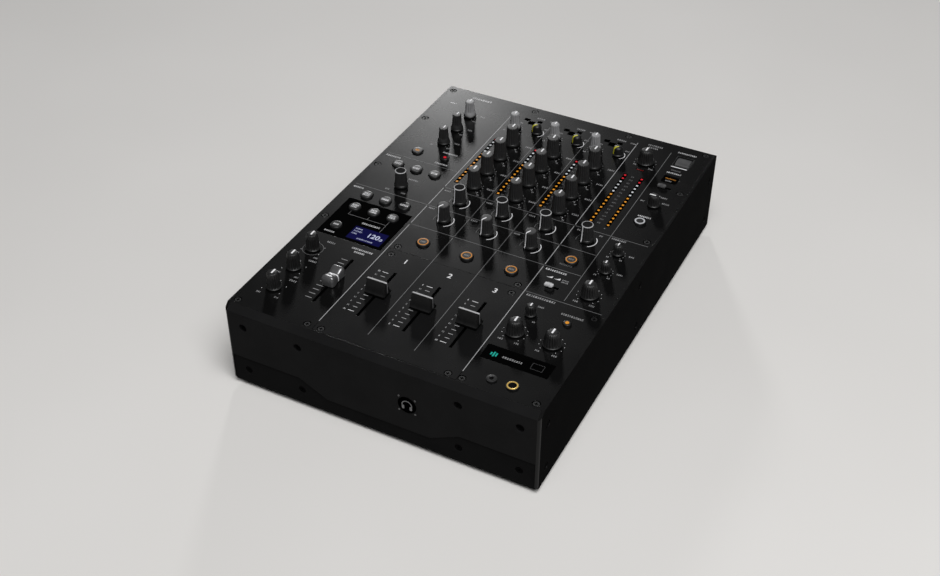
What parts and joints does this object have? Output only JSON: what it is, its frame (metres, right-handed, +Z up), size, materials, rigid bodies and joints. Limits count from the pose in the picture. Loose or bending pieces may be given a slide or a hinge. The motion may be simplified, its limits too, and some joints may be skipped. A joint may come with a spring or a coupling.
{
  "type": "dj mixer",
  "caption": "Desktop DJ mixer: sloping-lipped black case with tone knobs, channel faders, level meters, effects section with a lit display, and phones sockets.",
  "frame": {"origin": "on the standing surface under the middle of the case", "axes": "+X to the right across the controls, +Y from the front edge to the rear, +Z up"},
  "size_m": [0.285, 0.398, 0.1052],
  "materials": {
    "panel_paint": "fine-textured matte charcoal powder coat",
    "case_paint": "matte near-black powder coat",
    "rubber": "matt moulded rubber",
    "black_steel": "black zinc",
    "gloss_acrylic": "polished black acrylic",
    "circuit_board": "green solder mask",
    "socket_plastic": "black moulded plastic with plated contacts",
    "button_plastic": "satin black plastic",
    "silver_plastic": "satin silver-grey paint",
    "lever_plastic": "light grey plastic",
    "lit_button": "grey button with a lit ring",
    "grey_knob": "light grey matt plastic",
    "fader_plastic": "satin black plastic with a white line",
    "selector_plastic": "black plastic with a yellow-green pointer",
    "knob_rubber": "soft-touch black with a white pointer"
  },
  "bodies": {
    "chassis": {"top_panel": "panel_paint", "fader_panel": "panel_paint", "bottom_tray": "case_paint", "front_panel": "case_paint", "side_plates": "case_paint", "rear_panel": "case_paint", "rubber_feet": "rubber", "case_screws": "black_steel", "gloss_windows": "gloss_acrylic", "circuit_boards": "circuit_board", "sockets": "socket_plastic"},
    "mic_knob_1": {"mic_knob_1": "grey_knob"},
    "mic_knob_2": {"mic_knob_2": "knob_rubber"},
    "mic_knob_3": {"mic_knob_3": "knob_rubber"},
    "fx_knob_1": {"fx_knob_1": "knob_rubber"},
    "fx_knob_2": {"fx_knob_2": "knob_rubber"},
    "fx_knob_3": {"fx_knob_3": "knob_rubber"},
    "resonance_knob": {"resonance_knob": "knob_rubber"},
    "input_selector_1": {"input_selector_1": "selector_plastic"},
    "trim_knob_1": {"trim_knob_1": "grey_knob"},
    "eq_knob_1_1": {"eq_knob_1_1": "knob_rubber"},
    "eq_knob_1_2": {"eq_knob_1_2": "knob_rubber"},
    "eq_knob_1_3": {"eq_knob_1_3": "knob_rubber"},
    "eq_knob_1_4": {"eq_knob_1_4": "knob_rubber"},
    "filter_knob_1": {"filter_knob_1": "knob_rubber"},
    "send_knob_1": {"send_knob_1": "knob_rubber"},
    "input_selector_2": {"input_selector_2": "selector_plastic"},
    "trim_knob_2": {"trim_knob_2": "grey_knob"},
    "eq_knob_2_1": {"eq_knob_2_1": "knob_rubber"},
    "eq_knob_2_2": {"eq_knob_2_2": "knob_rubber"},
    "eq_knob_2_3": {"eq_knob_2_3": "knob_rubber"},
    "eq_knob_2_4": {"eq_knob_2_4": "knob_rubber"},
    "filter_knob_2": {"filter_knob_2": "knob_rubber"},
    "send_knob_2": {"send_knob_2": "knob_rubber"},
    "input_selector_3": {"input_selector_3": "selector_plastic"},
    "trim_knob_3": {"trim_knob_3": "grey_knob"},
    "eq_knob_3_1": {"eq_knob_3_1": "knob_rubber"},
    "eq_knob_3_2": {"eq_knob_3_2": "knob_rubber"},
    "eq_knob_3_3": {"eq_knob_3_3": "knob_rubber"},
    "eq_knob_3_4": {"eq_knob_3_4": "knob_rubber"},
    "filter_knob_3": {"filter_knob_3": "knob_rubber"},
    "send_knob_3": {"send_knob_3": "knob_rubber"},
    "master_level_knob": {"master_level_knob": "knob_rubber"},
    "master_filter_knob": {"master_filter_knob": "knob_rubber"},
    "booth_level_knob": {"booth_level_knob": "knob_rubber"},
    "route_selector": {"route_selector": "knob_rubber"},
    "phones_mix_knob": {"phones_mix_knob": "knob_rubber"},
    "phones_level_knob": {"phones_level_knob": "knob_rubber"},
    "phones_cue_knob": {"phones_cue_knob": "knob_rubber"},
    "booth_high_knob": {"booth_high_knob": "knob_rubber"},
    "booth_low_knob": {"booth_low_knob": "knob_rubber"},
    "power_button": {"power_button": "button_plastic"},
    "fx_fader": {"fx_fader": "silver_plastic"},
    "channel_fader_1": {"channel_fader_1": "fader_plastic"},
    "channel_fader_2": {"channel_fader_2": "fader_plastic"},
    "channel_fader_3": {"channel_fader_3": "fader_plastic"},
    "slide_levers": {"slide_levers": "lever_plastic"},
    "fx_buttons": {"fx_buttons": "silver_plastic"},
    "cue_buttons": {"cue_buttons": "lit_button"},
    "utility_buttons": {"utility_buttons": "lit_button"}
  },
  "joints": [
    {"name": "mic_knob_1_turn", "type": "hinge", "parent": "chassis", "child": "mic_knob_1", "pos_m": [-0.0983, 0.155, 0.085], "axis": [0, 0, -1], "range_deg": [-150, 150]},
    {"name": "mic_knob_2_turn", "type": "hinge", "parent": "chassis", "child": "mic_knob_2", "pos_m": [-0.0983, 0.1275, 0.085], "axis": [0, 0, -1], "range_deg": [-150, 150]},
    {"name": "mic_knob_3_turn", "type": "hinge", "parent": "chassis", "child": "mic_knob_3", "pos_m": [-0.0983, 0.1, 0.085], "axis": [0, 0, -1], "range_deg": [-150, 150]},
    {"name": "fx_knob_1_turn", "type": "hinge", "parent": "chassis", "child": "fx_knob_1", "pos_m": [-0.1186, -0.101, 0.085], "axis": [0, 0, -1], "range_deg": [-150, 150]},
    {"name": "fx_knob_2_turn", "type": "hinge", "parent": "chassis", "child": "fx_knob_2", "pos_m": [-0.1186, -0.131, 0.085], "axis": [0, 0, -1], "range_deg": [-150, 150]},
    {"name": "fx_knob_3_turn", "type": "hinge", "parent": "chassis", "child": "fx_knob_3", "pos_m": [-0.1186, -0.161, 0.085], "axis": [0, 0, -1], "range_deg": [-150, 150]},
    {"name": "resonance_knob_turn", "type": "hinge", "parent": "chassis", "child": "resonance_knob", "pos_m": [-0.0983, 0.017, 0.085], "axis": [0, 0, -1], "range_deg": [-180, 120]},
    {"name": "input_selector_1_turn", "type": "hinge", "parent": "chassis", "child": "input_selector_1", "pos_m": [-0.0264, 0.157, 0.085], "axis": [0, 0, -1], "range_deg": [0, 180]},
    {"name": "trim_knob_1_turn", "type": "hinge", "parent": "chassis", "child": "trim_knob_1", "pos_m": [-0.0489, 0.155, 0.085], "axis": [0, 0, -1], "range_deg": [-150, 150]},
    {"name": "eq_knob_1_1_turn", "type": "hinge", "parent": "chassis", "child": "eq_knob_1_1", "pos_m": [-0.0384, 0.1275, 0.085], "axis": [0, 0, -1], "range_deg": [-150, 150]},
    {"name": "eq_knob_1_2_turn", "type": "hinge", "parent": "chassis", "child": "eq_knob_1_2", "pos_m": [-0.0384, 0.1005, 0.085], "axis": [0, 0, -1], "range_deg": [-150, 150]},
    {"name": "eq_knob_1_3_turn", "type": "hinge", "parent": "chassis", "child": "eq_knob_1_3", "pos_m": [-0.0384, 0.0735, 0.085], "axis": [0, 0, -1], "range_deg": [-150, 150]},
    {"name": "eq_knob_1_4_turn", "type": "hinge", "parent": "chassis", "child": "eq_knob_1_4", "pos_m": [-0.0384, 0.0465, 0.085], "axis": [0, 0, -1], "range_deg": [-150, 150]},
    {"name": "filter_knob_1_turn", "type": "hinge", "parent": "chassis", "child": "filter_knob_1", "pos_m": [-0.0384, 0.018, 0.085], "axis": [0, 0, -1], "range_deg": [0, 308]},
    {"name": "send_knob_1_turn", "type": "hinge", "parent": "chassis", "child": "send_knob_1", "pos_m": [-0.0384, -0.0125, 0.085], "axis": [0, 0, -1], "range_deg": [0, 308]},
    {"name": "input_selector_2_turn", "type": "hinge", "parent": "chassis", "child": "input_selector_2", "pos_m": [0.016, 0.157, 0.085], "axis": [0, 0, -1], "range_deg": [0, 180]},
    {"name": "trim_knob_2_turn", "type": "hinge", "parent": "chassis", "child": "trim_knob_2", "pos_m": [-0.0065, 0.155, 0.085], "axis": [0, 0, -1], "range_deg": [-150, 150]},
    {"name": "eq_knob_2_1_turn", "type": "hinge", "parent": "chassis", "child": "eq_knob_2_1", "pos_m": [0.004, 0.1275, 0.085], "axis": [0, 0, -1], "range_deg": [-150, 150]},
    {"name": "eq_knob_2_2_turn", "type": "hinge", "parent": "chassis", "child": "eq_knob_2_2", "pos_m": [0.004, 0.1005, 0.085], "axis": [0, 0, -1], "range_deg": [-150, 150]},
    {"name": "eq_knob_2_3_turn", "type": "hinge", "parent": "chassis", "child": "eq_knob_2_3", "pos_m": [0.004, 0.0735, 0.085], "axis": [0, 0, -1], "range_deg": [-150, 150]},
    {"name": "eq_knob_2_4_turn", "type": "hinge", "parent": "chassis", "child": "eq_knob_2_4", "pos_m": [0.004, 0.0465, 0.085], "axis": [0, 0, -1], "range_deg": [-150, 150]},
    {"name": "filter_knob_2_turn", "type": "hinge", "parent": "chassis", "child": "filter_knob_2", "pos_m": [0.004, 0.018, 0.085], "axis": [0, 0, -1], "range_deg": [0, 308]},
    {"name": "send_knob_2_turn", "type": "hinge", "parent": "chassis", "child": "send_knob_2", "pos_m": [0.004, -0.0125, 0.085], "axis": [0, 0, -1], "range_deg": [0, 308]},
    {"name": "input_selector_3_turn", "type": "hinge", "parent": "chassis", "child": "input_selector_3", "pos_m": [0.0584, 0.157, 0.085], "axis": [0, 0, -1], "range_deg": [0, 180]},
    {"name": "trim_knob_3_turn", "type": "hinge", "parent": "chassis", "child": "trim_knob_3", "pos_m": [0.0359, 0.155, 0.085], "axis": [0, 0, -1], "range_deg": [-150, 150]},
    {"name": "eq_knob_3_1_turn", "type": "hinge", "parent": "chassis", "child": "eq_knob_3_1", "pos_m": [0.0464, 0.1275, 0.085], "axis": [0, 0, -1], "range_deg": [-150, 150]},
    {"name": "eq_knob_3_2_turn", "type": "hinge", "parent": "chassis", "child": "eq_knob_3_2", "pos_m": [0.0464, 0.1005, 0.085], "axis": [0, 0, -1], "range_deg": [-150, 150]},
    {"name": "eq_knob_3_3_turn", "type": "hinge", "parent": "chassis", "child": "eq_knob_3_3", "pos_m": [0.0464, 0.0735, 0.085], "axis": [0, 0, -1], "range_deg": [-150, 150]},
    {"name": "eq_knob_3_4_turn", "type": "hinge", "parent": "chassis", "child": "eq_knob_3_4", "pos_m": [0.0464, 0.0465, 0.085], "axis": [0, 0, -1], "range_deg": [-150, 150]},
    {"name": "filter_knob_3_turn", "type": "hinge", "parent": "chassis", "child": "filter_knob_3", "pos_m": [0.0464, 0.018, 0.085], "axis": [0, 0, -1], "range_deg": [0, 308]},
    {"name": "send_knob_3_turn", "type": "hinge", "parent": "chassis", "child": "send_knob_3", "pos_m": [0.0464, -0.0125, 0.085], "axis": [0, 0, -1], "range_deg": [0, 308]},
    {"name": "master_level_knob_turn", "type": "hinge", "parent": "chassis", "child": "master_level_knob", "pos_m": [0.0865, 0.157, 0.085], "axis": [0, 0, -1], "range_deg": [-150, 150]},
    {"name": "master_filter_knob_turn", "type": "hinge", "parent": "chassis", "child": "master_filter_knob", "pos_m": [0.0858, 0.0183, 0.085], "axis": [0, 0, -1], "range_deg": [0, 308]},
    {"name": "booth_level_knob_turn", "type": "hinge", "parent": "chassis", "child": "booth_level_knob", "pos_m": [0.118, -0.051, 0.085], "axis": [0, 0, -1], "range_deg": [-150, 150]},
    {"name": "route_selector_turn", "type": "hinge", "parent": "chassis", "child": "route_selector", "pos_m": [0.1185, 0.0945, 0.085], "axis": [0, 0, -1], "range_deg": [0, 150]},
    {"name": "phones_mix_knob_turn", "type": "hinge", "parent": "chassis", "child": "phones_mix_knob", "pos_m": [0.0838, -0.121, 0.085], "axis": [0, 0, -1], "range_deg": [-150, 150]},
    {"name": "phones_level_knob_turn", "type": "hinge", "parent": "chassis", "child": "phones_level_knob", "pos_m": [0.1162, -0.121, 0.085], "axis": [0, 0, -1], "range_deg": [-150, 150]},
    {"name": "phones_cue_knob_turn", "type": "hinge", "parent": "chassis", "child": "phones_cue_knob", "pos_m": [0.0855, -0.0955, 0.085], "axis": [0, 0, -1], "range_deg": [-150, 150]},
    {"name": "booth_high_knob_turn", "type": "hinge", "parent": "chassis", "child": "booth_high_knob", "pos_m": [0.1175, 0.012, 0.085], "axis": [0, 0, -1], "range_deg": [-150, 150]},
    {"name": "booth_low_knob_turn", "type": "hinge", "parent": "chassis", "child": "booth_low_knob", "pos_m": [0.1175, -0.0155, 0.085], "axis": [0, 0, -1], "range_deg": [-150, 150]},
    {"name": "channel_fader_1_slide", "type": "slide", "parent": "chassis", "child": "channel_fader_1", "axis": [0, 1, 0], "range_m": [-0.0295, 0.0265]},
    {"name": "channel_fader_2_slide", "type": "slide", "parent": "chassis", "child": "channel_fader_2", "axis": [0, 1, 0], "range_m": [-0.0295, 0.0265]},
    {"name": "channel_fader_3_slide", "type": "slide", "parent": "chassis", "child": "channel_fader_3", "axis": [0, 1, 0], "range_m": [-0.0295, 0.0265]},
    {"name": "fx_fader_slide", "type": "slide", "parent": "chassis", "child": "fx_fader", "axis": [0, 1, 0], "range_m": [-0.028, 0.028]},
    {"name": "slide_levers_slide", "type": "slide", "parent": "chassis", "child": "slide_levers", "axis": [1, 0, 0], "range_m": [-0.0025, 0.0075]},
    {"name": "fx_buttons_press", "type": "slide", "parent": "chassis", "child": "fx_buttons", "axis": [0, 0, -1], "range_m": [0, 0.001], "stiffness_N_per_m": 400, "springref_m": -0.001},
    {"name": "cue_buttons_press", "type": "slide", "parent": "chassis", "child": "cue_buttons", "axis": [0, 0, -1], "range_m": [0, 0.001], "stiffness_N_per_m": 400, "springref_m": -0.001},
    {"name": "utility_buttons_press", "type": "slide", "parent": "chassis", "child": "utility_buttons", "axis": [0, 0, -1], "range_m": [0, 0.001], "stiffness_N_per_m": 400, "springref_m": -0.001},
    {"name": "power_button_press", "type": "slide", "parent": "chassis", "child": "power_button", "axis": [0, -1, 0], "range_m": [0, 0.0025], "stiffness_N_per_m": 500, "springref_m": -0.001}
  ]
}
